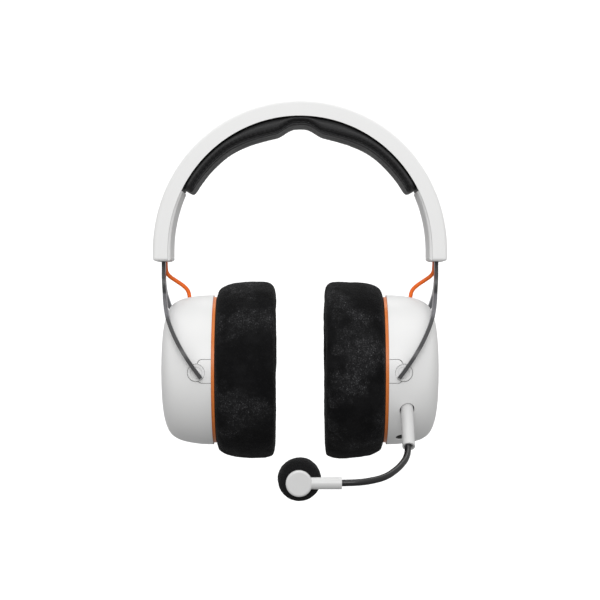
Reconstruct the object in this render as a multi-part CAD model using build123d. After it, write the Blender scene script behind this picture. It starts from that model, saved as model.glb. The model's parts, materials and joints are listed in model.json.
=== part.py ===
from build123d import *
import os
from math import cos, hypot, radians, sin, tan

# Over-ear gaming headset with a plug-in boom microphone. Millimetres, +Z up.
# Origin: underside of the headband pad at its centre, where the head touches it.
# The wearer faces -Y, so +X is the wearer's left, the side that carries the microphone.

# ---- headband ----
ARCH_Z = -69.0                      # height of the arch's ellipse centre
BAND_OUTER = (81.1, 82.8)           # outer half width, half height
BAND_INNER = (72.9, 74.1)
BAND_END_Z = -75.0
BAND_HALF_DEPTH = 19.0
BAND_WALL = 1.4
BAND_SIDE_WALL = 1.8
BAND_EDGE_R = 1.6
LINER_INNER = (71.3, 76.0)          # its inner face leaves the band's towards the band's end
LINER_HALF_DEPTH = 17.4
LINER_CORNER_R, LINER_SHOULDER_R = 1.4, 1.3
PAD_SPREAD = 63.0                   # degrees each side of the top
PAD_HALF_DEPTH = 16.6
PAD_DEEP_R = 66.2                   # underside of the thick parts, from the arch centre
NOTCH_HALF_WIDTH = 10.5             # centre relief in the headband pad

# ---- yoke: a 2 mm strip bent in front view, forked in side view ----
STEM_X = 76.2
STEM_TOP_Z = -49.0
STEM_HALF_DEPTH = 4.0
STRIP = 2.0
STRIP_BEND_Z = -82.0
STRIP_BENDS = ((74.0, 28.0), (150.0, 10.0))   # radius, turn in degrees
SLIDE_TRAVEL = 17.0
HEAD_STOP = 3.0                     # height of the stem's stop head
BODY_GAP = 0.3

# ---- ear cups ----
EAR_Z = -135.5
CUP_FACE_X = 48.1
CUP_SEAM_R = 31.0
CUP_WALL = 2.0
CUP_OUTLINE = ((48.1, 41.75), (54.9, 41.5), (60.0, 40.85), (66.9, 39.1), (71.8, 35.8),
               (74.3, 31.0), (75.5, 26.5), (76.6, 16.0), (77.2, 0.0))   # x, radius
RING_X = 46.4
RING_R = 40.7
PAD_FACE_X = 13.4
PAD_OUT_R = 49.7
PAD_HOLE_R = 27.0
BAFFLE_X = 50.2
DRIVER_R = 20.0

# ---- cup pivots ----
PIVOT = (56.0, -135.8)              # x, z of the tilt axis, which runs along Y
PIVOT_DISC_R = 4.7
PIVOT_BOSS_R = 6.1                  # hidden boss behind the skin that carries the disc
TAB_END_X, TAB_HEIGHT, TAB_RISE = 55.2, 12.6, 0.8
SEAM = 0.25                         # visible gap round the flush inserts
PIVOT_FACE_Y = 41.0
FIT_GAP = 0.05                      # radial running clearance

# ---- orange lead from the band to the cup ----
LEAD_R = 1.1
LEAD_Y = 5.6
LEAD_ROUTE = ((75.6, -54.0), (75.6, -81.0), (62.0, -91.6), (62.0, -99.0))    # x, z
LEAD_BEND_R = 9.0

# ---- microphone ----
MIC_ORIGIN = (58.0, -35.5, -156.1)  # where the plug's axis crosses the cup's skin
MIC_TILT = 42.0                     # from straight down, towards the front
PLUG_R = 3.4
PLUG_IN, PLUG_OUT = 4.0, 25.0
PIN_R, PIN_LENGTH = 1.75, 12.0
BOOM_R = 1.75
BOOM_ROUTE = ((56.9, -59.6, -179.6), (52.2, -69.0, -184.4), (44.5, -78.2, -188.9),
              (33.0, -83.4, -190.9), (14.0, -85.3, -191.3))
CAPSULE = (-0.5, -85.3, -191.2)
FOAM_CENTRE = (-0.3, -79.0, -189.6)
FOAM_R = 11.4

# ---- controls and cable inlet on the microphone side ----
INLET = (55.5, -19.5)               # x, y of the socket, which faces down
INLET_R, INLET_DEPTH = 1.8, 14.0
WHEEL_ANGLE, WHEEL_R, WHEEL_WIDTH = -38.0, 8.0, 3.4
WHEEL_SEAT_R = 35.2                 # wheel centre from the ear axis
BUTTON_ANGLE, BUTTON_R = -66.0, 2.6
CONTROL_X = 61.0

SIDES = (("left", 1), ("right", -1))


def save(name, shape):
    export_step(shape, f"parts/{name}.step")


def sided(shape, sign):
    """The +X shape, or its mirror image for the other side."""
    return shape if sign > 0 else mirror(shape, about=Plane.YZ)


def arch_face(half_width, half_height, end_z):
    """Front outline of a half ellipse with straight legs."""
    dome = Pos(0, ARCH_Z) * Ellipse(half_width, half_height)
    dome &= Pos(0, ARCH_Z + half_height) * Rectangle(4 * half_width, 2 * half_height)
    legs = Pos(0, (ARCH_Z + end_z) / 2) * Rectangle(2 * half_width, ARCH_Z - end_z)
    return dome + legs


def arch(half_width, half_height, half_depth, end_z):
    return extrude(Plane.XZ * arch_face(half_width, half_height, end_z), half_depth, both=True)


def arch_ring(outer, inner, half_depth, end_z):
    hole = arch(inner[0], inner[1], half_depth + 5, end_z - 5)
    return arch(outer[0], outer[1], half_depth, end_z) - hole


def grown(pair, by):
    return (pair[0] + by, pair[1] + by)


def sector(half_angle, reach=120.0, half_depth=30.0):
    """Wedge about the arch centre, half_angle each side of straight up."""
    a = radians(half_angle)
    side = (reach * sin(a), ARCH_Z + reach * cos(a))
    outline = Polyline((0, ARCH_Z), (-side[0], side[1]), (0, ARCH_Z + 2 * reach), side, close=True)
    return extrude(Plane.XZ * make_face(outline), half_depth, both=True)


def box(x, y, z):
    """Box from three (low, high) pairs."""
    size = [high - low for low, high in (x, y, z)]
    mid = [(high + low) / 2 for low, high in (x, y, z)]
    return Pos(*mid) * Box(*size)


def rod_y(x, z, radius, y_low, y_high):
    place = Pos(x, (y_low + y_high) / 2, z) * Rot(90, 0, 0)
    return place * Cylinder(radius, y_high - y_low)


def rod_x(y, z, radius, x_low, x_high):
    place = Pos((x_low + x_high) / 2, y, z) * Rot(0, 90, 0)
    return place * Cylinder(radius, x_high - x_low)


# ------------------------------------------------------------------ headband
def stem_slot(grow):
    """Opening for the yoke's stem and the lead beside it."""
    half = STRIP / 2 + grow
    slot = box((STEM_X - half, STEM_X + half), (-STEM_HALF_DEPTH - grow, STEM_HALF_DEPTH + grow),
               (BAND_END_Z - 2, STEM_TOP_Z))
    channel = box((LEAD_ROUTE[0][0] - LEAD_R - grow, LEAD_ROUTE[0][0] + LEAD_R + grow),
                  (STEM_HALF_DEPTH - 1, LEAD_Y + LEAD_R + grow), (BAND_END_Z - 2, STEM_TOP_Z))
    return slot + channel


def headband_shell():
    body = arch_ring(BAND_OUTER, BAND_INNER, BAND_HALF_DEPTH, BAND_END_Z)
    rims = [e for e in body.edges() if abs(abs(e.center().Y) - BAND_HALF_DEPTH) < 0.01
            and e.length > 100 and e.bounding_box().max.X > BAND_OUTER[0] - 0.5]
    ends = [e for e in body.edges() if abs(e.center().Z - BAND_END_Z) < 0.01
            and abs(e.center().X) > BAND_INNER[0] + 0.1]
    body = fillet(rims + ends, BAND_EDGE_R)
    hollow = arch_ring(grown(BAND_OUTER, -BAND_WALL), grown(BAND_INNER, -2),
                       BAND_HALF_DEPTH - BAND_SIDE_WALL, BAND_END_Z + 1.6)
    body -= hollow
    for sign in (1, -1):
        body -= sided(stem_slot(BODY_GAP), sign)
    return body


def headband_liner():
    """Inner lining of one leg of the band, from the pad's end to the band's end."""
    half_depth = BAND_HALF_DEPTH - BAND_SIDE_WALL - 0.1
    tongue = arch_ring(grown(BAND_INNER, 0.5), grown(BAND_INNER, -0.2), half_depth, BAND_END_Z + 1.8)
    end_z = BAND_END_Z + 0.4
    face = arch_face(*grown(BAND_INNER, -0.05), end_z)
    face -= arch_face(*LINER_INNER, end_z - 5)
    a = radians(PAD_SPREAD + 0.4)
    reach = 2 * BAND_OUTER[1]
    cut = make_face(Polyline((0, ARCH_Z), (reach * sin(a), ARCH_Z + reach * cos(a)), (reach, 3 * reach),
                             (-3 * reach, 3 * reach), (-3 * reach, -reach), (0, -reach), close=True))
    face -= cut
    corner = face.vertices().sort_by(Axis.Y)[:2].sort_by(Axis.X)[0]
    face = fillet(corner, LINER_CORNER_R)
    blank = arch_ring(grown(LINER_INNER, 4.0), LINER_INNER, LINER_HALF_DEPTH, end_z - 5)
    rims = [e for e in blank.edges() if abs(abs(e.center().Y) - LINER_HALF_DEPTH) < 0.01 and e.length > 4.5
            and e.bounding_box().max.X < LINER_INNER[0] + 0.5]
    raised = extrude(Plane.XZ * face, LINER_HALF_DEPTH, both=True) & fillet(rims, LINER_SHOULDER_R)
    tongue -= sector(PAD_SPREAD + 0.4)
    tongue &= box((20, 100), (-40, 40), (-90, 20))
    return tongue + raised


def spring_band():
    strip = arch_ring(grown(BAND_OUTER, -BAND_WALL - 0.4), grown(BAND_OUTER, -BAND_WALL - 1.2), 8.0, BAND_END_Z)
    return strip & box((-100, 100), (-30, 30), (-46.0, 30))


def pad_carrier():
    plate = arch_ring(grown(BAND_INNER, 1.4), grown(BAND_INNER, 0.0),
                      BAND_HALF_DEPTH - BAND_SIDE_WALL - 0.1, BAND_END_Z)
    return plate & sector(PAD_SPREAD)


def headband_pad():
    """Soft pad under the band: thick on both sides of a shallow relief over the crown."""
    pad = arch_ring(grown(BAND_INNER, -0.1), (PAD_DEEP_R - 0.5, PAD_DEEP_R), PAD_HALF_DEPTH, BAND_END_Z)
    pad &= sector(PAD_SPREAD)
    relief = Pos(0, -NOTCH_HALF_WIDTH * 0.55) * Circle(NOTCH_HALF_WIDTH)
    shallow = extrude(Plane.XZ * relief, 30, both=True)
    shallow &= box((-40, 40), (-40, 40), (-20, 0.0))
    pad -= shallow
    bottom = [e for e in pad.edges() if abs(abs(e.center().Y) - PAD_HALF_DEPTH) < 0.01
              and e.length > 30 and e.center().Z < ARCH_Z + 70 and e.bounding_box().max.Z < 2]
    return fillet(bottom, 2.5) if bottom else pad


def slider_guide():
    """Block in the band's leg that carries the stem, with a stop for the stem's head."""
    low, high = BAND_END_Z + 1.8, -54.0
    block = box((BAND_INNER[0] + 0.6, STEM_X + 2.0), (-9.0, 9.0), (low, high))
    block -= stem_slot(BODY_GAP)
    run = box((STEM_X - STRIP / 2 - BODY_GAP, STEM_X + STRIP / 2 + BODY_GAP),
              (-STEM_HALF_DEPTH - 2.3, 0), (low + 4.0, high + 1))
    block -= run
    pocket = box((STEM_X - 1.0, STEM_X + 1.0), (-8.2, -STEM_HALF_DEPTH - 2.2), (-66.0, high + 1))
    block -= pocket
    for z in (low + 3.0, high - 3.0):
        block -= rod_x(7.9, z, 0.55, 60, 90)
    return block


def detent_spring():
    """Leaf in the guide whose bump clicks into the notches in the stop head's path."""
    y = -STEM_HALF_DEPTH - 3.2
    leaf = box((STEM_X - 0.9, STEM_X + 0.9), (y, y + 0.4), (-65.8, -54.4))
    bump = rod_x(y + 0.3, -60.0, 0.6, STEM_X - 0.9, STEM_X + 0.9)
    return leaf + (bump & box((0, 90), (y, 0), (-70, -50)))


def guide_screws():
    """Two screws through each guide, driven from the liner's side."""
    screws = []
    for sign in (1, -1):
        for z in (BAND_END_Z + 4.8, -57.0):
            shank = rod_x(7.9, z, 0.5, BAND_INNER[0] + 0.6, STEM_X + 1.8)
            screws.append(sided(shank, sign))
    return Compound(children=screws)


def crossover_wire():
    """Wire inside the band that carries the sound to the far cup."""
    ring = arch_ring(grown(BAND_OUTER, -BAND_WALL - 2.0), grown(BAND_OUTER, -BAND_WALL - 3.2), 0.6, BAND_END_Z)
    wire = Pos(0, 12.0, 0) * ring
    return wire & box((-100, 100), (0, 30), (-50.0, 30))


# ---------------------------------------------------------------------- yoke
def strip_profile():
    """Front view of the strip: straight stem, then two bends towards the cup."""
    x, z, heading = STEM_X, STRIP_BEND_Z, 0.0
    lines = [Line((STEM_X, STEM_TOP_Z), (STEM_X, STRIP_BEND_Z))]
    for radius, turn in STRIP_BENDS:
        end = heading + turn
        a, b, mid = radians(heading), radians(end), radians(heading + turn / 2)
        centre = (x - radius * cos(a), z + radius * sin(a))
        points = [(centre[0] + radius * cos(t), centre[1] - radius * sin(t)) for t in (a, mid, b)]
        lines.append(ThreePointArc(*points))
        (x, z), heading = points[2], end
    return trace(Curve() + lines, line_width=STRIP)


def near_vertex(face, spot):
    return min(face.vertices(), key=lambda v: hypot(v.X - spot[0], v.Y - spot[1]))


def yoke():
    """Strip bent in front view, cut to a fork with a stop head in side view."""
    rounded = {(4.0, -90.6): 10, (33.1, -106.3): 21, (45.6, -122.9): 17, (42.2, -124.0): 14,
               (31.0, -109.0): 18}
    outer = [(0, STEM_TOP_Z), (STEM_HALF_DEPTH, STEM_TOP_Z), *list(rounded)[:3]]
    inner = [(45.6, -150.0), (42.2, -150.0), *list(rounded)[3:], (4.0, -94.6), (0, -93.4)]
    face = make_face(Polyline(*outer, *inner, close=True))
    for spot, radius in rounded.items():
        face = fillet(near_vertex(face, spot), radius)
    face += mirror(face, about=Plane.YZ)
    tab = Pos(40.9, PIVOT[1]) * Rectangle(2.8, 5.0)
    face += tab + mirror(tab, about=Plane.YZ)
    face += Pos(-STEM_HALF_DEPTH - 0.9, STEM_TOP_Z - HEAD_STOP / 2) * Rectangle(2.2, HEAD_STOP)
    side = extrude(Plane.YZ * face, 100)
    front = extrude(Plane.XZ * strip_profile(), 60, both=True)
    return side & front


def pivot_discs(fork):
    """Round bosses on the fork's tips, each running in an insert in the cup."""
    discs = []
    for sign in (1, -1):
        low, high = sorted((sign * 36.6, sign * PIVOT_FACE_Y))
        disc = rod_y(PIVOT[0], PIVOT[1], PIVOT_DISC_R, low, high)
        disc = chamfer(disc.edges().filter_by(GeomType.CIRCLE).sort_by(Axis.Y)[-1 if sign > 0 else 0], 0.4)
        groove = Pos(PIVOT[0], sign * (PIVOT_FACE_Y - 0.1), PIVOT[1]) * Rot(90, 0, 0)
        disc -= groove * (Cylinder(3.2, 0.7) - Cylinder(2.9, 0.7))
        discs.append(disc - fork)
    return Compound(children=discs)


def lead():
    points = [(x, LEAD_Y, z) for x, z in LEAD_ROUTE]
    path = FilletPolyline(*points, radius=LEAD_BEND_R)
    return sweep(Plane(path @ 0, z_dir=path % 0) * Circle(LEAD_R), path=path)


# ---------------------------------------------------------------------- cups
def inset(points, by):
    """The outline moved inwards by a wall's thickness."""
    moved = []
    for k, (x, r) in enumerate(points):
        before, after = points[max(k - 1, 0)], points[min(k + 1, len(points) - 1)]
        dx, dr = after[0] - before[0], after[1] - before[1]
        if k == len(points) - 1:
            dx, dr = 0, -1
        if k == 0:
            dx, dr = 1, 0
        size = hypot(dx, dr)
        moved.append((x + by * dr / size, r - by * dx / size))
    return moved


def turned(face):
    """Solid of revolution about the ear axis from a face drawn as (x, radius)."""
    return Pos(0, 0, EAR_Z) * revolve(Plane.XZ * face, Axis.X, 360)


def cup_solid(points):
    curve = Spline(*points, tangents=((1, -0.04), (0, -1)))
    start, end = points[0], points[-1]
    edges = [curve, Line(end, (start[0], 0)), Line((start[0], 0), start)]
    return turned(make_face(edges))


def ring(x_low, x_high, r_out, r_in=0.0):
    """Washer or disc about the ear axis."""
    width, depth = x_high - x_low, r_out - r_in
    return turned(Pos((x_low + x_high) / 2, (r_out + r_in) / 2) * Rectangle(width, depth))


def keyhole(radius, grow, y_low, y_high):
    """Round seat and the tab that joins it to the cup's rim, one on each side."""
    x, z = PIVOT
    tab_low, tab_high = CUP_FACE_X - 3.0 - x, TAB_END_X + grow - x
    tab = Pos((tab_low + tab_high) / 2, 0) * RectangleRounded(tab_high - tab_low, TAB_HEIGHT + 2 * grow, 2.5)
    rim = box((CUP_FACE_X, 80), (-60, 60), (-200, -80))
    places = [(sign, Plane(origin=(x, sign * y_high, z), x_dir=(1, 0, 0), z_dir=(0, sign, 0)))
              for sign in (1, -1)]
    return [extrude(place * (Circle(radius + grow) + Pos(0, -sign * TAB_RISE) * tab), -(y_high - y_low)) & rim
            for sign, place in places]


def mic_place(along):
    """Frame on the plug's axis, its own +Z pointing out of the cup."""
    t = radians(MIC_TILT)
    out = Vector(0, -sin(t), -cos(t))
    return Plane(origin=Vector(*MIC_ORIGIN) + out * along, x_dir=(1, 0, 0), z_dir=out)


def mic_rod(radius, start, end):
    return extrude(mic_place(start) * Circle(radius), end - start)


def ear_polar(radius, angle, x):
    """Point around the ear axis, angle from straight back, positive up."""
    a = radians(angle)
    return (x, radius * cos(a), EAR_Z + radius * sin(a))


def radial_rod(radius, angle, x, r_low, r_high):
    a = radians(angle)
    place = Plane(origin=ear_polar(r_low, angle, x), x_dir=(1, 0, 0), z_dir=(0, cos(a), sin(a)))
    return extrude(place * Circle(radius), r_high - r_low)


def cup_parts(sign):
    """All the pieces of one ear cup, drawn on +X and mirrored for the other side."""
    whole = cup_solid(CUP_OUTLINE)
    inner = cup_solid(inset(CUP_OUTLINE, CUP_WALL))
    skin = whole - inner
    cap_zone = ring(70, 80, CUP_SEAM_R)
    outer_cover = skin & cap_zone
    cover_rim = ring(69.6, 73.4, CUP_SEAM_R - 1.3, CUP_SEAM_R - 2.6)
    outer_cover += cover_rim
    cup_shell = skin - ring(70, 80, CUP_SEAM_R + 0.15)
    cup_shell += ring(69.8, 71.4, CUP_SEAM_R + 3.0, CUP_SEAM_R - 1.2) & whole
    ledge = ring(BAFFLE_X + 2.1, BAFFLE_X + 4.0, 40.0, 37.6)
    cup_shell += ledge
    seat = rod_y(PIVOT[0], PIVOT[1], PIVOT_DISC_R + FIT_GAP, -50, 50)
    inserts = []
    for flush, boss in zip(keyhole(PIVOT_DISC_R, 0.0, 38.0, 45.0), keyhole(PIVOT_BOSS_R, 0.0, 36.6, 38.4)):
        inserts.append(((flush + boss) & whole) - seat)
    for flush, boss in zip(keyhole(PIVOT_DISC_R, SEAM, 38.0, 45.0), keyhole(PIVOT_BOSS_R, 0.1, 36.5, 38.5)):
        cup_shell -= flush + boss
    lead_hole = Pos(LEAD_ROUTE[3][0], LEAD_Y, EAR_Z + 40) * Cylinder(LEAD_R + 0.5, 12)
    cup_shell -= lead_hole
    parts = {
        "cup_shell": cup_shell,
        "outer_cover": outer_cover,
        "pivot_inserts": Compound(children=inserts),
        "trim_ring": ring(RING_X, CUP_FACE_X, RING_R, 35.6),
        "ear_pad": ear_pad(),
        "pad_mount_ring": ring(RING_X, BAFFLE_X, 35.5, 29.0),
        "damping_disc": ring(RING_X + 0.4, RING_X + 1.0, 28.8),
    }
    parts.update(driver_parts())
    return parts


def ear_pad():
    outline = Polyline((PAD_FACE_X, PAD_HOLE_R), (PAD_FACE_X, PAD_OUT_R), (34.0, PAD_OUT_R),
                       (RING_X, 44.3), (RING_X, PAD_HOLE_R), close=True)
    face = make_face(outline)
    for spot, radius in (((PAD_FACE_X, PAD_HOLE_R), 7), ((PAD_FACE_X, PAD_OUT_R), 6),
                         ((34.0, PAD_OUT_R), 16), ((RING_X, 44.3), 2.5)):
        face = fillet(near_vertex(face, spot), radius)
    return turned(face)


def driver_parts():
    baffle = ring(BAFFLE_X, BAFFLE_X + 2.0, 39.4, DRIVER_R + 0.2)
    for sign in (1, -1):
        y_low, y_high = sorted((sign * 36.2, sign * 45.0))
        baffle -= box((40, 70), (y_low, y_high), (PIVOT[1] - 6.6, PIVOT[1] + TAB_RISE + 6.8))
    screws = []
    for k in range(4):
        spot = ear_polar(37.4, 45 + 90 * k, 0)
        baffle -= rod_x(spot[1], spot[2], 1.15, 40, 60)
        head = rod_x(spot[1], spot[2], 1.9, BAFFLE_X - 1.2, BAFFLE_X - 0.05)
        shank = rod_x(spot[1], spot[2], 1.0, BAFFLE_X - 0.1, BAFFLE_X + 2.0)
        screws.append(head + shank)
    frame = ring(BAFFLE_X - 1.0, BAFFLE_X - 0.05, DRIVER_R + 2.0, DRIVER_R - 3.0)
    frame += ring(BAFFLE_X - 0.1, BAFFLE_X + 4.5, DRIVER_R, DRIVER_R - 1.6)
    frame += ring(BAFFLE_X + 3.2, BAFFLE_X + 4.5, DRIVER_R - 0.5, 9.2)
    cone = turned(make_face(Polyline((BAFFLE_X - 0.7, 16.9), (BAFFLE_X - 0.4, 16.9), (BAFFLE_X + 1.2, 9.0),
                                     (BAFFLE_X - 0.2, 0.0), (BAFFLE_X - 0.5, 0.0), (BAFFLE_X + 0.9, 9.0),
                                     close=True)))
    magnet = ring(BAFFLE_X + 2.2, BAFFLE_X + 9.0, 9.1)
    return {"baffle": baffle, "baffle_screws": Compound(children=screws), "driver_frame": frame,
            "diaphragm": cone, "driver_magnet": magnet}


def microphone_side(parts):
    """Cuts and adds what only the microphone's cup has."""
    shell = parts["cup_shell"]
    room = cup_solid(inset(CUP_OUTLINE, CUP_WALL + 0.05))
    shell -= mic_rod(PLUG_R + 0.65, -PLUG_IN - 0.3, 30)
    shell -= mic_rod(PLUG_R + 2.0, -20.0, 0.0) & room
    socket = mic_rod(PLUG_R + 1.9, -19.0, 0.0) & room
    socket -= mic_rod(PLUG_R + 0.65, -PLUG_IN - 0.3, 30)
    socket -= mic_rod(PIN_R + FIT_GAP, -PLUG_IN - PIN_LENGTH - 0.6, 0)
    socket -= rod_y(PIVOT[0], PIVOT[1], 6.6, -60, 0)
    parts["mic_socket"] = socket

    inlet_z = EAR_Z - 40.0
    shell -= Pos(INLET[0], INLET[1], inlet_z) * Cylinder(INLET_R + 1.1, 26)
    barrel = Pos(INLET[0], INLET[1], inlet_z + INLET_DEPTH / 2) * Cylinder(INLET_R + 1.0, INLET_DEPTH + 6)
    barrel = barrel & cup_solid(inset(CUP_OUTLINE, 0.4))
    barrel -= mic_rod(PLUG_R + 2.0, -25, 30)
    parts["audio_socket"] = barrel - Pos(INLET[0], INLET[1], EAR_Z - 42.0 + 7) * Cylinder(INLET_R, INLET_DEPTH)

    wheel_at = ear_polar(WHEEL_SEAT_R, WHEEL_ANGLE, CONTROL_X)
    half = WHEEL_WIDTH / 2
    shell -= rod_x(wheel_at[1], wheel_at[2], WHEEL_R + 0.5, CONTROL_X - half - 0.35, CONTROL_X + half + 0.35)
    wheel = rod_x(wheel_at[1], wheel_at[2], WHEEL_R, CONTROL_X - half, CONTROL_X + half)
    for k in range(24):
        a = radians(360 / 24 * k)
        wheel -= rod_x(wheel_at[1] + (WHEEL_R + 0.25) * cos(a), wheel_at[2] + (WHEEL_R + 0.25) * sin(a),
                       0.6, CONTROL_X - half - 1, CONTROL_X + half + 1)
    wheel += rod_x(wheel_at[1], wheel_at[2], 1.2, CONTROL_X - 3.6, CONTROL_X + 3.0)
    parts["volume_wheel"] = wheel
    potentiometer = box((CONTROL_X - 4.6, CONTROL_X - 2.2), (wheel_at[1] - 4.5, wheel_at[1] + 1.6),
                        (wheel_at[2] - 4.0, wheel_at[2] + 4.0))
    potentiometer -= rod_x(wheel_at[1], wheel_at[2], 1.2 + FIT_GAP, CONTROL_X - 9, CONTROL_X)
    parts["volume_potentiometer"] = potentiometer

    shell -= radial_rod(BUTTON_R + 0.3, BUTTON_ANGLE, CONTROL_X, 34.0, 50.0)
    button = radial_rod(BUTTON_R, BUTTON_ANGLE, CONTROL_X, 37.2, 41.6)
    button += radial_rod(BUTTON_R + 0.8, BUTTON_ANGLE, CONTROL_X, 36.4, 37.4)
    parts["mute_button"] = button
    board = box((CONTROL_X - 6.2, CONTROL_X - 4.6), (9.0, 30.0), (-168.0, -151.0))
    parts["control_board"] = board & ring(40, 80, 36.0)
    parts["cup_shell"] = shell
    return parts


def boom_path():
    """From inside the plug, down and forward, then across in front of the mouth."""
    t = radians(MIC_TILT)
    start = [m + (PLUG_OUT - 4.0) * d for m, d in zip(MIC_ORIGIN, (0, -sin(t), -cos(t)))]
    points = [Vector(*start)] + [Vector(*p) for p in BOOM_ROUTE]
    radii = []
    for a, b, c in zip(points, points[1:], points[2:]):
        turn = (b - a).get_angle(c - b)
        radii.append(0.45 * min((b - a).length, (c - b).length) / tan(radians(turn / 2)))
    return FilletPolyline(*points, radius=radii)


def microphone():
    path = boom_path()
    boom, sleeve = [sweep(Plane(path @ 0, z_dir=path % 0) * Circle(r), path=path)
                    for r in (BOOM_R, BOOM_R + FIT_GAP)]
    plug = mic_rod(PLUG_R, -PLUG_IN, PLUG_OUT) - sleeve
    plug -= mic_rod(BOOM_R + 0.75, PLUG_OUT - 2.2, PLUG_OUT + 1)
    pin = mic_rod(PIN_R, -PLUG_IN - PIN_LENGTH, -PLUG_IN)
    x, y, z = CAPSULE
    disc = rod_y(x, z, 6.85, y - 3.4, y + 0.6)
    disc = fillet(disc.edges().group_by(Axis.Y)[0], 1.2)
    neck = Pos(x, y, z) * Rot(0, 90, 0) * Cylinder(3.1, 22.1, align=(Align.CENTER, Align.CENTER, Align.MIN))
    stub = rod_y(x, z, 5.6, y, y + 8.0)
    housing = disc + neck + stub
    housing -= rod_y(x, z, 4.9, y + 0.6, y + 9)
    housing -= sleeve
    capsule = rod_y(x, z, 4.8, y + 3.0, y + 7.6)
    fx, fy, fz = FOAM_CENTRE
    foam = rod_y(fx, fz, FOAM_R, fy - 6.6, fy + 6.6)
    foam = fillet(foam.edges(), 4.6)
    foam -= rod_y(x, z, 5.7, fy - 10, y + 8.1)
    foam -= box((0, 30), (fy - 10, y + 3.2), (z - 3.3, z + 3.3))
    foam -= rod_y(x, z, 6.95, fy - 10, y + 0.7)
    return {"mic_plug": plug, "mic_pin": pin, "mic_boom": boom, "mic_housing": housing,
            "mic_capsule": capsule, "mic_foam": foam}


def main():
    os.makedirs("parts", exist_ok=True)
    save("headband_shell", headband_shell())
    save("spring_band", spring_band())
    save("pad_carrier", pad_carrier())
    save("headband_pad", headband_pad())
    save("guide_screws", guide_screws())
    save("crossover_wire", crossover_wire())
    fork = yoke()
    per_side = {"headband_liner": headband_liner(), "slider_guide": slider_guide(),
                "detent_spring": detent_spring(), "yoke": fork, "pivot_discs": pivot_discs(fork),
                "lead": lead()}
    for side, sign in SIDES:
        for name, shape in per_side.items():
            save(f"{name}_{side}", sided(shape, sign))
        parts = cup_parts(sign)
        if sign > 0:
            parts = microphone_side(parts)
        for name, shape in parts.items():
            single = name in ("mic_socket", "audio_socket", "volume_wheel", "volume_potentiometer",
                              "mute_button", "control_board")
            save(name if single else f"{name}_{side}", sided(shape, sign))
    for name, shape in microphone().items():
        save(name, shape)


main()
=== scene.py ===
import json
import math

import bmesh
import bpy
import numpy as np
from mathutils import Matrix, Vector, noise


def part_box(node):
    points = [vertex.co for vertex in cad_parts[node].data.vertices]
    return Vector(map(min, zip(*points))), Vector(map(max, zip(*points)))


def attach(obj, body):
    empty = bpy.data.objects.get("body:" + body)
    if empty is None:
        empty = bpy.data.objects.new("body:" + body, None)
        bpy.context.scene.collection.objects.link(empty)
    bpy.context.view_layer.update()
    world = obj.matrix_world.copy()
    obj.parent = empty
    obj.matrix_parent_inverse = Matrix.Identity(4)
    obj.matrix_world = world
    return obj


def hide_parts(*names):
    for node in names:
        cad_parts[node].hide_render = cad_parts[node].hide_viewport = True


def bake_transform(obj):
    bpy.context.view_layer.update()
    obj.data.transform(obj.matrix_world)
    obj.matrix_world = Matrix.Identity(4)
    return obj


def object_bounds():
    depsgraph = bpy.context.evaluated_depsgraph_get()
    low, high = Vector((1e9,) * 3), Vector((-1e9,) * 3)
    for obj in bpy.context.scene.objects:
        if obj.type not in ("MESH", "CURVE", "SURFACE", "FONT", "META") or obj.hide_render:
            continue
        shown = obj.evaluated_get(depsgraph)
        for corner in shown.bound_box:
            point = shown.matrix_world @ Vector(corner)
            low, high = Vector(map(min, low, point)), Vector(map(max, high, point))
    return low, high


bl_info = {
    "name": "Gaming Headset",
    "version": (1, 0, 0),
    "blender": (4, 5, 0),
    "location": "3D View > Sidebar > Headset",
    "description": "Soft goods, finishes and a studio stage for an over-ear headset",
    "category": "Object",
}

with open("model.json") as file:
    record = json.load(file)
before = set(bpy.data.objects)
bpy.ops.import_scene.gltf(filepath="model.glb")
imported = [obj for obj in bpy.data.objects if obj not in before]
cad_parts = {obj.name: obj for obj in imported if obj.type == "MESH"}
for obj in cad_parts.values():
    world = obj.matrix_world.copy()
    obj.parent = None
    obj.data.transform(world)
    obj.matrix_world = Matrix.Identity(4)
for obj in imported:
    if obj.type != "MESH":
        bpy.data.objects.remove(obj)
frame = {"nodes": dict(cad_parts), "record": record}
cad_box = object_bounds()

MM = 0.001
SIDES = {"left": 1, "right": -1}
ARCH_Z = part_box("headband_shell")[1].z - 82.8 * MM     # centre of the band's ellipse
BAND_INNER = (72.8 * MM, 74.0 * MM)                     # where the headband pad starts
EAR_Z = (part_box("ear_pad_left")[0].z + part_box("ear_pad_left")[1].z) / 2


# ------------------------------------------------------------------ settings
class HeadsetSizes(bpy.types.PropertyGroup):
    """Sizes of the soft pieces"""
    cover_swell: bpy.props.FloatProperty(
        name="Ear pad swell", description="Furthest that an ear pad's cover moves when its foam fills it",
        default=1.6 * MM, min=0, unit="LENGTH")
    ear_hole: bpy.props.FloatProperty(
        name="Ear opening radius", description="Radius of the opening in each ear pad",
        default=27.0 * MM, min=0.01, unit="LENGTH")
    crown_swell: bpy.props.FloatProperty(
        name="Headband pad swell", description="Furthest that the headband pad's cover moves when filled",
        default=0.9 * MM, min=0, unit="LENGTH")
    stitch_pitch: bpy.props.FloatProperty(
        name="Stitch pitch", description="Distance from one stitch to the next",
        default=2.6 * MM, min=0.5 * MM, unit="LENGTH")
    stitch_radius: bpy.props.FloatProperty(
        name="Thread radius", description="Half the thickness of the sewing thread",
        default=0.22 * MM, min=0.05 * MM, unit="LENGTH")
    lead_radius: bpy.props.FloatProperty(
        name="Lead radius", description="Half the thickness of each orange lead",
        default=1.12 * MM, min=0.2 * MM, unit="LENGTH")


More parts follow.
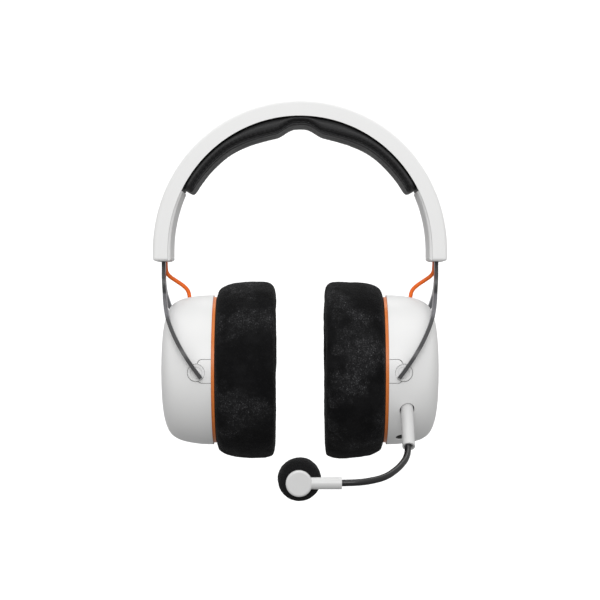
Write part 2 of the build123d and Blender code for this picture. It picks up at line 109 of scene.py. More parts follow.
class HeadsetColours(bpy.types.PropertyGroup):
    """Base colours of the finishes"""
    shell: bpy.props.FloatVectorProperty(
        name="Shell white", description="Moulded shells of the band and cups", subtype="COLOR",
        default=(0.83, 0.83, 0.825), min=0, max=1)
    orange: bpy.props.FloatVectorProperty(
        name="Lead orange", description="Jacket of each lead", subtype="COLOR",
        default=(0.95, 0.16, 0.008), min=0, max=1)
    trim: bpy.props.FloatVectorProperty(
        name="Trim orange", description="Ring between each cup and its ear pad", subtype="COLOR",
        default=(0.86, 0.24, 0.05), min=0, max=1)
    velour: bpy.props.FloatVectorProperty(
        name="Velour", description="Pile of the ear pads", subtype="COLOR",
        default=(0.0055, 0.0055, 0.0058), min=0, max=1)
    leatherette: bpy.props.FloatVectorProperty(
        name="Leatherette", description="Cover of the headband pad", subtype="COLOR",
        default=(0.022, 0.022, 0.023), min=0, max=1)
    metal: bpy.props.FloatVectorProperty(
        name="Yoke metal", description="Anthracite finish of the yokes", subtype="COLOR",
        default=(0.045, 0.045, 0.048), min=0, max=1)
    rubber: bpy.props.FloatVectorProperty(
        name="Boom rubber", description="Jacket of the microphone boom", subtype="COLOR",
        default=(0.018, 0.018, 0.019), min=0, max=1)


# ------------------------------------------------------------------- shading
class Signal:
    """One socket of a shader tree; Python's operators on it add Math nodes."""

    def __init__(self, finish, socket):
        self.finish = finish
        self.socket = socket

    def maths(self, operation, *values):
        return self.finish.node("ShaderNodeMath", {"operation": operation}, dict(enumerate(values)))

    def __add__(self, other):
        return self.maths("ADD", self, other)

    def __sub__(self, other):
        return self.maths("SUBTRACT", self, other)

    def __rsub__(self, other):
        return self.maths("SUBTRACT", other, self)

    def __mul__(self, other):
        return self.maths("MULTIPLY", self, other)

    __radd__ = __add__
    __rmul__ = __mul__

    def step(self, low, high):
        """0 below low, 1 above high, smooth between."""
        return self.finish.node("ShaderNodeMapRange", {"interpolation_type": "SMOOTHSTEP"},
                                {"Value": self, "From Min": low, "From Max": high})


class Finish:
    """A procedural material on one Principled shader."""

    def __init__(self, name, **constants):
        self.material = bpy.data.materials.new(name)
        self.material.use_nodes = True
        self.tree = self.material.node_tree
        self.surface = self.tree.nodes["Principled BSDF"]
        for word, value in constants.items():
            self.surface.inputs[word.replace("_", " ")].default_value = value
        self.place = self.node("ShaderNodeTexCoord", out="Object")

    def put(self, socket, value):
        if isinstance(value, Signal):
            self.tree.links.new(value.socket, socket)
        else:
            socket.default_value = value

    def node(self, kind, settings=None, inputs=None, out=0):
        """Adds a node: its settings first, then its sockets. Returns one output."""
        made = self.tree.nodes.new(kind)
        for word, value in (settings or {}).items():
            setattr(made, word, value)
        for word, value in (inputs or {}).items():
            self.put(made.inputs[word], value)
        return Signal(self, made.outputs[out])

    def noise(self, size, detail=2.0, rough=0.5, vector=None):
        """Fractal noise whose blobs are about size across."""
        return self.node("ShaderNodeTexNoise", {}, {
            "Vector": vector or self.place, "Scale": 1 / size, "Detail": detail, "Roughness": rough})

    def cells(self, size, feature="F1"):
        """Distance field of scattered cells about size across."""
        return self.node("ShaderNodeTexVoronoi", {"feature": feature}, {
            "Vector": self.place, "Scale": 1 / size})

    def stretched(self, x, y, z):
        return self.node("ShaderNodeMapping", {}, {"Vector": self.place, "Scale": (x, y, z)})

    def blend(self, amount, low, high):
        return self.node("ShaderNodeMix", {"data_type": "RGBA"}, {0: amount, 6: low, 7: high}, 2)

    def bump(self, height, depth, strength=1.0, under=None):
        inputs = {"Height": height, "Distance": depth, "Strength": strength}
        if under:
            inputs["Normal"] = under
        return self.node("ShaderNodeBump", {}, inputs)

    def drive(self, **signals):
        for word, value in signals.items():
            self.put(self.surface.inputs[word.replace("_", " ")], value)
        return self.material


def tone(colour, gain=1.0):
    return (*[min(1.0, c * gain) for c in colour[:3]], 1.0)


def satin_plastic(name, colour, rough=0.38, gain=0.97, texture=0.006):
    """Moulded plastic with a fine satin texture, its depth in mm."""
    f = Finish(name, IOR=1.5, Coat_Roughness=0.3)
    drift = f.noise(18 * MM, 3)
    grain = f.noise(0.3 * MM, 2, 0.6)
    normal = f.bump(grain, texture * MM, 0.5, f.bump(drift, 0.02 * MM, 0.3))
    return f.drive(Base_Color=f.blend(drift, tone(colour), tone(colour, gain)),
                   Roughness=rough - 0.03 + 0.07 * f.noise(2.5 * MM, 3), Normal=normal)


def orange_jacket(name, colour, rough=0.42):
    """Coloured rubbery plastic with a faint mottle."""
    f = Finish(name, Specular_IOR_Level=0.3)
    mottle = f.noise(3 * MM, 3)
    return f.drive(Base_Color=f.blend(mottle, tone(colour), tone(colour, 0.86)),
                   Roughness=rough + 0.1 * f.noise(1.2 * MM, 2),
                   Normal=f.bump(f.noise(0.3 * MM, 2), 0.012 * MM, 0.6))


def velour_pile(name, colour):
    """Short dark pile: crushed patches, fibre tips and pale lint in clusters."""
    f = Finish(name, Sheen_Weight=0.04, Sheen_Roughness=0.35, Specular_IOR_Level=0.05)
    crush = f.noise(12 * MM, 3, 0.6)
    tufts = f.noise(0.9 * MM, 3, 0.75)
    patches = f.noise(21 * MM, 3, 0.6, f.stretched(1.0, 1.0, 0.9)).step(0.44, 0.72)
    veil = f.noise(3.2 * MM, 3, 0.7).step(0.38, 0.66)
    fleck = f.noise(0.7 * MM, 2, 0.8).step(0.47, 0.64)
    spark = f.cells(0.95 * MM).step(0.0, 0.42)
    dark = f.blend(crush.step(0.4, 0.65) * tufts, tone(colour), tone(colour, 2.2))
    haze = f.blend(patches * (0.35 + 0.5 * veil), dark, (0.020, 0.020, 0.021, 1))
    lint = fleck * (0.04 + patches * (0.35 + 0.65 * veil)) * (1.2 - spark)
    return f.drive(Base_Color=f.blend(lint, haze, (0.25, 0.25, 0.26, 1)),
                   Roughness=0.88 + 0.1 * tufts,
                   Normal=f.bump(tufts + fleck, 0.22 * MM, 0.55))


def grained_leatherette(name, colour):
    """Soft synthetic leather: pebble grain with fine creases."""
    f = Finish(name, IOR=1.45, Specular_IOR_Level=0.45)
    warp = f.noise(3.5 * MM, 2)
    pebble = f.cells(0.85 * MM, "DISTANCE_TO_EDGE").step(0.0, 0.22)
    crease = f.noise(5 * MM, 4, 0.7, f.stretched(1.0, 0.35, 1.0)).step(0.47, 0.53)
    height = 0.7 * pebble + 0.3 * crease + 0.2 * warp
    return f.drive(Base_Color=f.blend(pebble * warp, tone(colour, 0.7), tone(colour, 1.5)),
                   Roughness=0.56 - 0.14 * pebble + 0.08 * warp,
                   Normal=f.bump(height, 0.07 * MM, 0.8))


def foam_cells(name, colour=(0.007, 0.007, 0.0073)):
    """Open-cell windscreen foam."""
    f = Finish(name, Sheen_Weight=0.05, Sheen_Roughness=0.5, Specular_IOR_Level=0.1)
    pore = f.cells(0.75 * MM, "F1").step(0.15, 0.62)
    fine = f.noise(0.5 * MM, 3, 0.7)
    return f.drive(Base_Color=f.blend(pore * fine, tone(colour, 1.9), tone(colour, 0.3)),
                   Roughness=0.85 + 0.1 * fine,
                   Normal=f.bump(1 - pore + 0.4 * fine, 0.3 * MM, 0.9))


def anthracite_metal(name, colour):
    """Blasted dark metal with a fine grain; its colour is painted reflection, nearly black on faces turned
    along Y and lighter on the others.
    """
    f = Finish(name, Specular_IOR_Level=0.5)
    grain = f.noise(0.5 * MM, 3, 0.7, f.stretched(1.0, 1.0, 0.12))
    facing = f.node("ShaderNodeSeparateXYZ", {}, {0: f.node("ShaderNodeTexCoord", out="Normal")}, 1)
    # Mask of the faces turned along Y, which get the painted dark reflection; the rest get the painted bright
    # reflection.
    painted_reflection_mask = facing.maths("ABSOLUTE", facing).step(0.35, 0.7)
    # Light grey painted reflection of a bright surround, with the grain.
    painted_bright_reflection = f.blend(grain, tone(colour, 5.5), tone(colour, 8.5))
    # Near-black painted dark reflection, with the grain.
    cut = f.blend(grain, tone(colour, 0.5), tone(colour, 0.95))
    return f.drive(Base_Color=f.blend(painted_reflection_mask, painted_bright_reflection, cut), Roughness=0.30 + 0.14 * grain,
                   Metallic=0.85 * (1 - painted_reflection_mask), Normal=f.bump(grain, 0.010 * MM, 0.5))


def brushed_steel(name, level=0.55):
    f = Finish(name, Metallic=1.0)
    lines = f.noise(0.4 * MM, 3, 0.7, f.stretched(0.1, 1.0, 1.0))
    return f.drive(Base_Color=f.blend(lines, (level,) * 3 + (1,), (level * 0.8,) * 3 + (1,)),
                   Roughness=0.22 + 0.2 * lines, Normal=f.bump(lines, 0.006 * MM, 0.5))


def plated_contact(name):
    f = Finish(name, Metallic=1.0)
    wear = f.noise(2.0 * MM, 4)
    return f.drive(Base_Color=f.blend(wear, (0.78, 0.60, 0.30, 1), (0.66, 0.48, 0.22, 1)),
                   Roughness=0.18 + 0.14 * wear)


def woven_cloth(name):
    """Thin black acoustic cloth with a square weave."""
    f = Finish(name, Sheen_Weight=0.3, Specular_IOR_Level=0.2)
    axes = [f.node("ShaderNodeSeparateXYZ", {}, {0: f.place}, k) for k in (1, 2)]
    across, along = [a.maths("SINE", a * (math.tau / (0.9 * MM))) for a in axes]
    weave = (across * along).step(-0.3, 0.6)
    return f.drive(Base_Color=f.blend(weave, (0.010, 0.010, 0.011, 1), (0.045, 0.045, 0.048, 1)),
                   Roughness=0.8 + 0.1 * weave, Normal=f.bump(weave, 0.15 * MM, 0.8))


def circuit_mask(name):
    f = Finish(name, Coat_Roughness=0.2)
    tracks = f.cells(2.2 * MM, "DISTANCE_TO_EDGE").step(0.05, 0.12)
    return f.drive(Base_Color=f.blend(tracks, (0.03, 0.19, 0.08, 1), (0.012, 0.09, 0.04, 1)),
                   Roughness=0.3 + 0.2 * tracks)


def film(name):
    f = Finish(name, IOR=1.45)
    rings = f.noise(1.4 * MM, 2, 0.5, f.stretched(0.2, 1, 1))
    return f.drive(Base_Color=f.blend(rings, (0.62, 0.60, 0.52, 1), (0.5, 0.48, 0.40, 1)),
                   Roughness=0.2 + 0.15 * rings)


FINISHES = {}


def finish(slot):
    """The material of one of the record's slots, made once."""
    if slot not in FINISHES:
        c = bpy.context.scene.headset_colours
        makers = {
            "white_shell": lambda n: satin_plastic(n, c.shell),
            "white_liner": lambda n: satin_plastic(n, c.shell, 0.45, 0.93),
            "mic_white": lambda n: satin_plastic(n, tone(c.shell, 0.8), 0.3),
            "black_plastic": lambda n: satin_plastic(n, (0.014, 0.014, 0.014), 0.5, 1.8),
            "control_plastic": lambda n: satin_plastic(n, (0.03, 0.03, 0.032), 0.45, 1.4),
            "leatherette": lambda n: grained_leatherette(n, c.leatherette),
            "velour": lambda n: velour_pile(n, c.velour),
            "foam": foam_cells,
            "acoustic_cloth": woven_cloth,
            "spring_steel": brushed_steel,
            "screw_steel": lambda n: brushed_steel(n, 0.3),
            "magnet_steel": lambda n: brushed_steel(n, 0.45),
            "contact_metal": plated_contact,
            "dark_metal": lambda n: anthracite_metal(n, c.metal),
            "orange_lead": lambda n: orange_jacket(n, c.orange),
            "orange_trim": lambda n: orange_jacket(n, c.trim, 0.3),
            "wire_jacket": lambda n: satin_plastic(n, (0.02, 0.02, 0.02), 0.5, 1.5),
            "boom_rubber": lambda n: satin_plastic(n, tone(c.rubber, 0.6), 0.24, 0.9, 0.0008),
            "diaphragm_film": film,
            "circuit_board": circuit_mask,
            "thread": lambda n: orange_jacket(n, (0.012, 0.012, 0.012), 0.7),
        }
        FINISHES[slot] = makers[slot](slot)
    return FINISHES[slot]


# ---------------------------------------------------------------- mesh tools
def linked(name, mesh):
    piece = bpy.data.objects.new(name, mesh)
    bpy.context.scene.collection.objects.link(piece)
    return piece


def surface(name, rings, close_ends=False):
    """Closed skin through rings of points. The rings join end to end unless the ends are capped."""
    count, size = len(rings), len(rings[0])
    verts = [p for ring in rings for p in ring]
    faces = []
    for i in range(count - 1 if close_ends else count):
        for j in range(size):
            a, b = i * size + j, i * size + (j + 1) % size
            c, d = ((i + 1) % count) * size + (j + 1) % size, ((i + 1) % count) * size + j
            faces.append((a, b, c, d))
    if close_ends:
        faces += [tuple(range(size)), tuple(range((count - 1) * size, count * size))]
    mesh = bpy.data.meshes.new(name)
    mesh.from_pydata([tuple(v) for v in verts], [], faces)
    outwards(mesh)
    return linked(name, mesh)


def outwards(mesh):
    bm = bmesh.new()
    bm.from_mesh(mesh)
    bmesh.ops.remove_doubles(bm, verts=bm.verts, dist=1e-7)
    bmesh.ops.recalc_face_normals(bm, faces=bm.faces)
    bm.to_mesh(mesh)
    bm.free()


def rounded(points, passes=3):
    """A closed outline with its corners cut until they are round."""
    for _ in range(passes):
        cut = []
        for p, q in zip(points, points[1:] + points[:1]):
            cut.append((0.78 * p[0] + 0.22 * q[0], 0.78 * p[1] + 0.22 * q[1]))
            cut.append((0.22 * p[0] + 0.78 * q[0], 0.22 * p[1] + 0.78 * q[1]))
        points = cut
    return points


def apply_modifiers(piece):
    """Bakes what the modifiers give into the piece's own mesh."""
    graph = bpy.context.evaluated_depsgraph_get()
    mesh = bpy.data.meshes.new_from_object(piece.evaluated_get(graph))
    piece.modifiers.clear()
    piece.data = mesh
    return piece


def refine(piece, levels):
    sub = piece.modifiers.new("Subdivision", "SUBSURF")
    sub.levels = sub.render_levels = levels
    return apply_modifiers(piece)


def points_of(piece):
    co = np.empty(len(piece.data.vertices) * 3)
    piece.data.vertices.foreach_get("co", co)
    return co.reshape(-1, 3)


def set_points(piece, co):
    piece.data.vertices.foreach_set("co", np.ascontiguousarray(co, dtype=np.float32).ravel())
    piece.data.update()


def normals_of(piece):
    n = np.empty(len(piece.data.vertices) * 3)
    piece.data.vertices.foreach_get("normal", n)
    return n.reshape(-1, 3)


def push(piece, depth):
    """Moves each point along its normal by depth(point)."""
    co, n = points_of(piece), normals_of(piece)
    set_points(piece, co + n * np.array([depth(Vector(p)) for p in co])[:, None])


def remesh(piece, voxel):
    made = piece.modifiers.new("Remesh", "REMESH")
    made.mode, made.voxel_size = "VOXEL", voxel
    return apply_modifiers(piece)


def fill_with_foam(piece, cap, held, pressure=4.0, frames=20):
    """Swells a cover with the cloth solver. No point moves further than cap; held points stay."""
    scene = bpy.context.scene
    start = points_of(piece)
    group = piece.vertex_groups.new(name="held")
    group.add([i for i, p in enumerate(start) if held(p)], 1.0, "REPLACE")
    cloth = piece.modifiers.new("Cloth", "CLOTH")
    cloth.settings.quality = 6
    cloth.settings.mass = 0.25
    cloth.settings.tension_stiffness = cloth.settings.compression_stiffness = 14
    cloth.settings.bending_stiffness = 0.4
    cloth.settings.use_pressure = True
    cloth.settings.uniform_pressure_force = pressure
    cloth.settings.vertex_group_mass = "held"
    cloth.settings.effector_weights.gravity = 0
    cloth.point_cache.frame_start, cloth.point_cache.frame_end = 1, frames
    for number in range(1, frames + 1):
        scene.frame_set(number)
    end = np.empty(len(start) * 3)
    shape = piece.evaluated_get(bpy.context.evaluated_depsgraph_get())
    shape.data.vertices.foreach_get("co", end)
    move = end.reshape(-1, 3) - start
    far = np.maximum(np.linalg.norm(move, axis=1), 1e-9)
    piece.modifiers.clear()
    piece.vertex_groups.clear()
    set_points(piece, start + move * np.minimum(1, cap / far)[:, None])
    scene.frame_set(1)
    return piece


def smooth(piece):
    piece.data.polygons.foreach_set("use_smooth", [True] * len(piece.data.polygons))
    return piece


def dress(piece, slot):
    """Gives a piece the material of a slot."""
    piece.data.materials.clear()
    piece.data.materials.append(finish(slot))
    return piece


def tube(name, route, radius, around=20):
    """Round tube whose centreline is a NURBS spline with the route as its control points."""
    curve = bpy.data.curves.new(name, "CURVE")
    curve.dimensions = "3D"
    spline = curve.splines.new("NURBS")
    spline.points.add(len(route) - 1)
    for point, co in zip(spline.points, route):
        point.co = (*co, 1)
    spline.order_u, spline.use_endpoint_u = 3, True
    spline.resolution_u = 14
    curve.bevel_depth, curve.bevel_resolution = radius, around // 4
    curve.use_fill_caps = True
    holder = linked(name + ".route", curve)
    bpy.context.view_layer.update()
    mesh = bpy.data.meshes.new_from_object(holder.evaluated_get(bpy.context.evaluated_depsgraph_get()))
    bpy.data.objects.remove(holder)
    outwards(mesh)
    return smooth(linked(name, mesh))


def circle_angles(count):
    """Angles of count even steps round a circle."""
    return [math.tau * k / count for k in range(count)]


def smoothstep(low, high, x):
    t = min(1.0, max(0.0, (x - low) / (high - low)))
    return t * t * (3 - 2 * t)


# ------------------------------------------------------------ repeated parts
def stitch_tree(name, slot):
    """Geometry Nodes: thread stitches at an even pitch along the piece's edges."""
    tree = bpy.data.node_groups.new(name, "GeometryNodeTree")
    face = tree.interface
    face.new_socket("Path", in_out="INPUT", socket_type="NodeSocketGeometry")
    for word in ("Pitch", "Length", "Radius"):
        face.new_socket(word, in_out="INPUT", socket_type="NodeSocketFloat")
    face.new_socket("Stitches", in_out="OUTPUT", socket_type="NodeSocketGeometry")

    def add(kind, links=(), **settings):
        made = tree.nodes.new(kind)
        for word, value in settings.items():
            setattr(made, word, value)
        for socket, source in links:
            tree.links.new(source, made.inputs[socket])
        return made

    given = add("NodeGroupInput").outputs
    line = add("GeometryNodeMeshToCurve", [("Mesh", given["Path"])]).outputs["Curve"]
    spaced = add("GeometryNodeResampleCurve", [("Curve", line)])
    if hasattr(spaced, "mode"):
        spaced.mode = "LENGTH"
    else:
        spaced.inputs["Mode"].default_value = "Length"
    tree.links.new(given["Pitch"], spaced.inputs["Length"])
    tangent = add("GeometryNodeInputTangent").outputs[0]
    turn = add("FunctionNodeAlignRotationToVector", [("Vector", tangent)], axis="X").outputs[0]
    bead = add("GeometryNodeMeshUVSphere")
    bead.inputs["Segments"].default_value = 8
    bead.inputs["Rings"].default_value = 6
    bead.inputs["Radius"].default_value = 1.0
    scale = add("ShaderNodeCombineXYZ", [("X", given["Length"]), ("Y", given["Radius"]),
                                         ("Z", given["Radius"])]).outputs[0]
    shaped = add("GeometryNodeTransform", [("Geometry", bead.outputs["Mesh"]), ("Scale", scale)])
    laid = add("GeometryNodeInstanceOnPoints", [("Points", spaced.outputs[0]), ("Rotation", turn),
                                                ("Instance", shaped.outputs[0])]).outputs[0]
    real = add("GeometryNodeRealizeInstances", [("Geometry", laid)]).outputs[0]
    painted = add("GeometryNodeSetMaterial", [("Geometry", real)])
    painted.inputs["Material"].default_value = finish(slot)
    add("NodeGroupOutput", [("Stitches", painted.outputs[0])])
    return tree


def sew(name, paths, body, slot="thread"):
    """One mesh of stitches along several paths, riding on a body."""
    sizes = bpy.context.scene.headset_sizes
    mesh = bpy.data.meshes.new(name)
    verts, edges = [], []
    for path, closed in paths:
        first = len(verts)
        verts += [tuple(p) for p in path]
        edges += [(first + i, first + i + 1) for i in range(len(path) - 1)]
        if closed:
            edges.append((len(verts) - 1, first))
    mesh.from_pydata(verts, edges, [])
    piece = linked(name, mesh)
    made = piece.modifiers.new("Stitches", "NODES")
    made.node_group = stitch_tree(name, slot)
    values = {"Pitch": sizes.stitch_pitch, "Length": sizes.stitch_pitch * 0.36, "Radius": sizes.stitch_radius}
    for item in made.node_group.interface.items_tree:
        if item.name in values and item.in_out == "INPUT":
            made[item.identifier] = values[item.name]
    bpy.context.view_layer.update()
    apply_modifiers(piece)
    smooth(piece)
    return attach(piece, body)


# ------------------------------------------------------------------- ear pad
def ear_pad(side):
    """Velour ring cushion: foam-filled cover, remeshed and swelled, then its pile's unevenness."""
    sizes = bpy.context.scene.headset_sizes
    low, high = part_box(f"ear_pad_{side}")
    sign = SIDES[side]
    face, back = (low.x, high.x) if sign > 0 else (high.x, low.x)
    outer = (high.z - low.z) / 2
    slack = 0.2 * MM

    def at(depth):
        return face + sign * depth * MM

    hole, rim = sizes.ear_hole, outer - slack
    outline = [(at(0.4), hole + 3 * MM), (at(0.4), rim - 3.6 * MM), (at(1.7), rim - 1.2 * MM),
               (at(5.0), rim), (at(13), rim), (at(22), rim - 0.7 * MM), (at(28), rim - 2.0 * MM),
               (at(32), rim - 4.4 * MM), (back, rim - 8.2 * MM),
               (back, hole + 1.2 * MM), (at(20), hole + slack)]
    outline = rounded(outline, 3)
    rings = [[(x, r * math.sin(a), EAR_Z + r * math.cos(a)) for x, r in outline]
             for a in circle_angles(128)]
    pad = surface(f"ear_pad_cover_{side}", rings)
    remesh(pad, 3.0 * MM)
    fill_with_foam(pad, sizes.cover_swell, lambda p: abs(p[0] - back) < 2.5 * MM)
    refine(pad, 2)
    seed = Vector((0.0, 0.0, 3.7 * sign))

    def depth(p):
        lumps = noise.noise(p / (17 * MM) + seed) * 0.5 + noise.noise(p / (6 * MM) - seed) * 0.2
        tufts = noise.noise(p / (1.8 * MM) + seed) * 0.10
        near_back = smoothstep(0, 4 * MM, abs(p.x - back))
        return (lumps + tufts) * MM * near_back

    push(pad, depth)
    smooth(pad)
    dress(pad, "velour")
    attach(pad, f"cup_{side}")
    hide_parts(f"ear_pad_{side}")
    seam = hole + 0.9 * MM
    circle = [(at(15), seam * math.sin(a), EAR_Z + seam * math.cos(a)) for a in circle_angles(160)]
    sew(f"ear_pad_stitches_{side}", [(circle, True)], f"cup_{side}")


class HEADSET_OT_ear_pads(bpy.types.Operator):
    """Builds both velour ear pads"""
    bl_idname = "headset.ear_pads"
    bl_label = "Ear Pads"

    def execute(self, context):
        for side in SIDES:
            ear_pad(side)
        return {"FINISHED"}


# ------------------------------------------------------------- headband pad
PAD_SPREAD = 63.0
PAD_HALF_DEPTH = 16.6 * MM


def crown_notch(angle):
    """1 in the relief over the crown, 0 beyond it."""
    return 1 - smoothstep(2.0, 12.0, abs(angle))


def seam_radius(angle):
    """Radius of the front and rear seams about the band's centre."""
    flat = 67.0 + 2.2 * smoothstep(14, 38, abs(angle))
    return (flat + 4.2 * crown_notch(angle)) * MM


def under_radius(angle):
    """Radius of the underside at its middle."""
    flat = 65.4 + 1.6 * smoothstep(12, 40, abs(angle)) + 0.3 * smoothstep(40, 60, abs(angle))
    return (flat + 3.5 * crown_notch(angle)) * MM


def band_radius(angle):
    a, (w, h) = math.radians(angle), BAND_INNER
    return w * h / math.hypot(h * math.sin(a), w * math.cos(a))


def on_band(angle, radius, y):
    a = math.radians(angle)
    return (radius * math.sin(a), y, ARCH_Z + radius * math.cos(a))


def pad_section(angle, tuck):
    """Half section from the top's middle to the underside's middle, as (y, radius)."""
    top, seam, under = band_radius(angle), seam_radius(angle), under_radius(angle)
    half = PAD_HALF_DEPTH
    mid = (top + seam) / 2
    side = [(0, top), (half * 0.5, top), (half - 1.6 * MM, top), (half - 0.7 * MM, top - 0.5 * MM),
            (half + 0.1 * MM, mid + 1.4 * MM), (half + 0.35 * MM, mid), (half - 0.2 * MM, seam + 1.2 * MM),
            (half - 1.5 * MM, seam + 0.35 * MM), (half - 2.2 * MM, seam), (half - 1.5 * MM, seam - 0.35 * MM),
            (half - 0.55 * MM, seam - 1.3 * MM), (half - 1.5 * MM, (seam + under) / 2 - 1.1 * MM),
            (half * 0.68, under + 0.25 * MM), (half * 0.35, under), (0, under)]
    centre = (top + under) / 2
    return [(y * tuck, centre + (r - centre) * tuck) for y, r in side]


def headband_pad():
    """Leatherette pad: side panels, a sewn seam and a crowned underside with a relief."""
    sizes = bpy.context.scene.headset_sizes
    stations = list(np.linspace(-PAD_SPREAD + 0.5, PAD_SPREAD - 0.5, 121))
    rings = []
    for k, angle in enumerate(stations):
        from_end = min(k, len(stations) - 1 - k)
        tuck = (0.72, 0.90, 0.975)[from_end] if from_end < 3 else 1.0
        half = pad_section(angle, tuck)
        outline = half + [(-y, r) for y, r in half[-2:0:-1]]
        rings.append([on_band(angle, r, y) for y, r in outline])
    pad = surface("headband_pad_cover", rings, close_ends=True)
    centre = Vector((0, 0, ARCH_Z))

    def against_band(p):
        angle = math.degrees(math.atan2(p[0], p[2] - ARCH_Z))
        radius = math.hypot(p[0], p[2] - ARCH_Z)
        seamed = abs(radius - seam_radius(angle)) < 0.6 * MM and abs(p[1]) > 12 * MM
        return radius > band_radius(angle) - 1.2 * MM or seamed or abs(angle) > PAD_SPREAD - 2

    fill_with_foam(pad, sizes.crown_swell, against_band, pressure=3.0, frames=14)
    refine(pad, 2)

    def depth(p):
        wrinkles = noise.noise(Vector((p.x / 9, p.y / 4, p.z / 9)) / MM) * 0.12
        radius = (Vector((p.x, 0, p.z)) - centre).length
        angle = math.degrees(math.atan2(p.x, p.z - ARCH_Z))
        pucker = math.exp(-((radius - seam_radius(angle)) / (1.4 * MM)) ** 2)
        gather = 0.12 * math.sin(angle * 2.9) * pucker * smoothstep(12 * MM, 15 * MM, abs(p.y))
        return (wrinkles + gather) * MM

    push(pad, depth)
    smooth(pad)
    dress(pad, "leatherette")
    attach(pad, "headband")
    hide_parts("headband_pad")
    paths = []
    for sign in (1, -1):
        path = [on_band(a, seam_radius(a) + 1.55 * MM, sign * PAD_HALF_DEPTH)
                for a in np.linspace(-PAD_SPREAD + 3, PAD_SPREAD - 3, 240)]
        paths.append((path, False))
    sew("headband_pad_stitches", paths, "headband")


class HEADSET_OT_headband_pad(bpy.types.Operator):
    """Builds the leatherette headband pad and its seam"""
    bl_idname = "headset.headband_pad"
    bl_label = "Headband Pad"

    def execute(self, context):
        headband_pad()
        return {"FINISHED"}


# -------------------------------------------------------------- orange leads
LEAD_ROUTE = [(75.6, 5.6, -54.0), (75.6, 5.6, -66.0), (75.6, 5.6, -77.0), (75.0, 5.6, -82.2),
              (69.2, 5.6, -86.0), (64.2, 5.6, -89.4), (62.0, 5.6, -93.2), (62.0, 5.6, -99.0)]


class HEADSET_OT_leads(bpy.types.Operator):
    """Builds the orange lead on each side"""
    bl_idname = "headset.leads"
    bl_label = "Leads"

    def execute(self, context):
        sizes = context.scene.headset_sizes
        for side, sign in SIDES.items():
            route = [(sign * x * MM, y * MM, z * MM) for x, y, z in LEAD_ROUTE]
            lead = tube(f"lead_jacket_{side}", route, sizes.lead_radius)
            dress(lead, "orange_lead")
            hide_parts(f"lead_{side}")
            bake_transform(lead)
        return {"FINISHED"}


# ---------------------------------------------------------------- microphone
def mic_foam():
    """Windscreen: a rounded foam drum with a pocket for the capsule housing."""
    low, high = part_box("mic_foam")
    centre = (low + high) / 2
    radius = (high.z - low.z) / 2
    pocket = (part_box("mic_capsule")[1].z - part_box("mic_capsule")[0].z) / 2 + 1.0 * MM
    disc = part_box("mic_housing")
    neck_z = (disc[0].z + disc[1].z) / 2
    outline = rounded([(low.y + 0.2 * MM, 0.6 * radius), (low.y + 1.2 * MM, 0.93 * radius),
                       (centre.y - 1 * MM, radius), (centre.y + 2.5 * MM, 0.985 * radius),
                       (high.y - 1.5 * MM, 0.8 * radius), (high.y, 0.42 * radius)], 1)
    outline = [(low.y + 0.3 * MM, 0.0), *outline[:-1], (high.y, 0.0)]
    rings = [[(centre.x + r * math.cos(a), y, centre.z + r * math.sin(a)) for y, r in outline]
             for a in circle_angles(96)]
    foam = surface("mic_windscreen", rings)
    remesh(foam, 0.8 * MM)
    smooth(foam)
    push(foam, lambda p: (0.16 * noise.noise(p / (1.1 * MM)) + 0.18 * noise.noise(p / (5 * MM))) * MM)
    bore, well, middle = 3.4 * MM, pocket + 0.3 * MM, -0.5 * MM
    along_neck = [[(x, disc[0].y + bore + bore * math.cos(a), neck_z + bore * math.sin(a))
                   for a in circle_angles(24)] for x in (0.0, 0.03)]
    along_core = [[(middle + well * math.cos(a), y, neck_z + well * math.sin(a))
                   for a in circle_angles(48)] for y in (low.y - 5 * MM, high.y - 4.6 * MM)]
    neck = surface("neck_cutter", along_neck, close_ends=True)
    core = surface("core_cutter", along_core, close_ends=True)
    for cutter in (neck, core):
        cut = foam.modifiers.new("Cut", "BOOLEAN")
        cut.operation, cut.object, cut.solver = "DIFFERENCE", cutter, "EXACT"
    apply_modifiers(foam)
    for cutter in (neck, core):
        bpy.data.objects.remove(cutter)
    smooth(foam)
    dress(foam, "foam")
    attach(foam, "microphone")
    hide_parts("mic_foam")


class HEADSET_OT_microphone(bpy.types.Operator):
    """Builds the microphone's foam windscreen"""
    bl_idname = "headset.microphone"
    bl_label = "Microphone"

    def execute(self, context):
        mic_foam()
        return {"FINISHED"}


# ------------------------------------------------------------------ finishes
class HEADSET_OT_finishes(bpy.types.Operator):
    """Gives every moulded, cut or turned piece its material"""
    bl_idname = "headset.finishes"
    bl_label = "Finishes"

    def execute(self, context):
        for part in frame["record"]["subparts"]:
            node = frame["nodes"][part["node"]]
            node.data.materials.clear()
            node.data.materials.append(finish(part["material_slot"]))
        return {"FINISHED"}


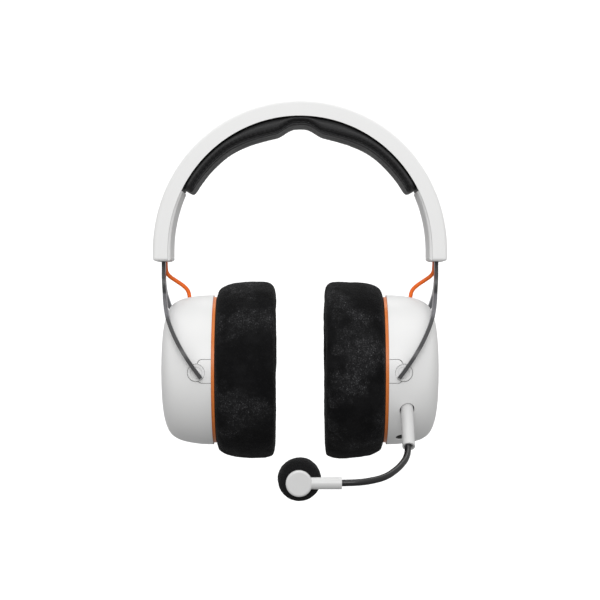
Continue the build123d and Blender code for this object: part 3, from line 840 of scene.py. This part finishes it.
# --------------------------------------------------------------------- stage
class HEADSET_OT_stage(bpy.types.Operator):
    """Sets a pale floor, soft lights and the front camera"""
    bl_idname = "headset.stage"
    bl_label = "Stage"

    def execute(self, context):
        scene = context.scene
        scene.view_settings.view_transform = "Standard"
        world = bpy.data.worlds.new("Studio")
        world.use_nodes = True
        sky = world.node_tree
        back = sky.nodes["Background"]
        place = sky.nodes.new("ShaderNodeTexCoord")
        height = sky.nodes.new("ShaderNodeSeparateXYZ")
        dome = sky.nodes.new("ShaderNodeMapRange")
        for word, value in (("From Min", -1.0), ("From Max", 1.0), ("To Min", 0.24), ("To Max", 0.88)):
            dome.inputs[word].default_value = value
        sky.links.new(place.outputs["Generated"], height.inputs[0])
        sky.links.new(height.outputs["Z"], dome.inputs["Value"])
        sky.links.new(dome.outputs["Result"], back.inputs["Strength"])
        back.inputs["Color"].default_value = (1, 1, 1, 1)
        scene.world = world

        level = cad_box[0][2] - 0.11
        profile = [(-2.5, 0.0), (1.0, 0.0)]
        sweep = 0.9
        profile += [(1.0 + sweep * math.sin(s), sweep - sweep * math.cos(s))
                    for s in np.linspace(0.1, math.pi / 2, 14)]
        profile += [(1.9, 3.0), (1.92, 3.0), (1.92, -0.02), (-2.5, -0.02)]
        rings = [[(x, y, level + z) for y, z in profile] for x in (-2.5, 2.5)]
        floor = surface("floor", rings, close_ends=True)
        smooth(floor)
        pale = Finish("pale floor", Specular_IOR_Level=0.2)
        patches = pale.noise(0.4, 2)
        floor.data.materials.append(pale.drive(
            Base_Color=pale.blend(patches, (0.95, 0.95, 0.95, 1), (0.93, 0.93, 0.93, 1)),
            Roughness=0.6 + 0.1 * patches))
        floor.visible_diffuse = floor.visible_glossy = False

        def lamp(name, place, aim, size, power):
            light = bpy.data.lights.new(name, "AREA")
            light.size, light.energy = size, power
            holder = bpy.data.objects.new(name, light)
            scene.collection.objects.link(holder)
            holder.location = place
            holder.rotation_euler = (Vector(aim) - Vector(place)).to_track_quat("-Z", "Y").to_euler()
            return holder

        middle = (0, 0, -0.09)
        lamp("overhead", (0, -0.45, 1.1), middle, 0.9, 2.0)
        lamp("backdrop wash", (0, 0.9, 1.6), (0, 1.7, 0.1), 1.6, 22.0)
        lamp("front key", (0, -1.7, 0.55), middle, 0.9, 12.4)

        camera = bpy.data.cameras.new("Front")
        camera.sensor_width, camera.lens = 36.0, 117.84
        holder = bpy.data.objects.new("Front", camera)
        scene.collection.objects.link(holder)
        holder.location = (0, -1.1, -0.0965)
        holder.rotation_euler = (math.pi / 2, 0, 0)
        scene.camera = holder
        return {"FINISHED"}


class HEADSET_PT_panel(bpy.types.Panel):
    bl_idname = "HEADSET_PT_panel"
    bl_label = "Headset"
    bl_space_type = "VIEW_3D"
    bl_region_type = "UI"
    bl_category = "Headset"

    def draw(self, context):
        layout = self.layout
        for group in (context.scene.headset_sizes, context.scene.headset_colours):
            box = layout.box()
            for word in group.__annotations__:
                box.prop(group, word)
        for operator in OPERATORS:
            layout.operator(operator.bl_idname)


OPERATORS = (HEADSET_OT_stage, HEADSET_OT_finishes, HEADSET_OT_leads, HEADSET_OT_microphone,
             HEADSET_OT_headband_pad, HEADSET_OT_ear_pads)
CLASSES = (HeadsetSizes, HeadsetColours, *OPERATORS, HEADSET_PT_panel)


def register():
    for item in CLASSES:
        bpy.utils.register_class(item)
    bpy.types.Scene.headset_sizes = bpy.props.PointerProperty(type=HeadsetSizes)
    bpy.types.Scene.headset_colours = bpy.props.PointerProperty(type=HeadsetColours)


def unregister():
    del bpy.types.Scene.headset_sizes
    del bpy.types.Scene.headset_colours
    for item in reversed(CLASSES):
        bpy.utils.unregister_class(item)


def main():
    register()
    for operator in OPERATORS:
        group, word = operator.bl_idname.split(".")
        getattr(getattr(bpy.ops, group), word)()


if __name__ == "__main__":
    main()
